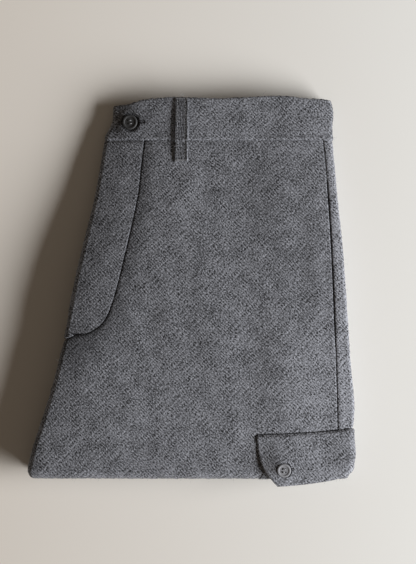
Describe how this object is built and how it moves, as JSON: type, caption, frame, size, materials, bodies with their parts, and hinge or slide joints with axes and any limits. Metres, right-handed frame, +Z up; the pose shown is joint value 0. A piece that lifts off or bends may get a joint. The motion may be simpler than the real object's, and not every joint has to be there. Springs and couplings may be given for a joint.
{
  "type": "cargo pants",
  "caption": "Wool twill cargo pants, buttoned and folded flat as for a shelf, with a waistband, belt loop, overlapping fly and a flapped cargo pocket.",
  "frame": {"origin": "centre of the bounding box, on the underside", "axes": "+Z up out of the stack, +Y towards the waistband, +X towards the side seam"},
  "size_m": [0.2958, 0.3516, 0.0349],
  "materials": {
    "wool_twill": "grey melange wool twill, soft and slightly hairy",
    "horn_button": "dark grey, satin, sewn with grey thread"
  },
  "bodies": {
    "root": {"front_panel": "wool_twill", "back_panel": "wool_twill", "fly_front": "wool_twill", "fly_shield": "wool_twill", "waistband": "wool_twill", "belt_loop": "wool_twill", "cargo_pocket": "wool_twill", "cargo_flap": "wool_twill", "under_layers": "wool_twill", "waist_button": "horn_button", "flap_button": "horn_button"}
  },
  "joints": []
}
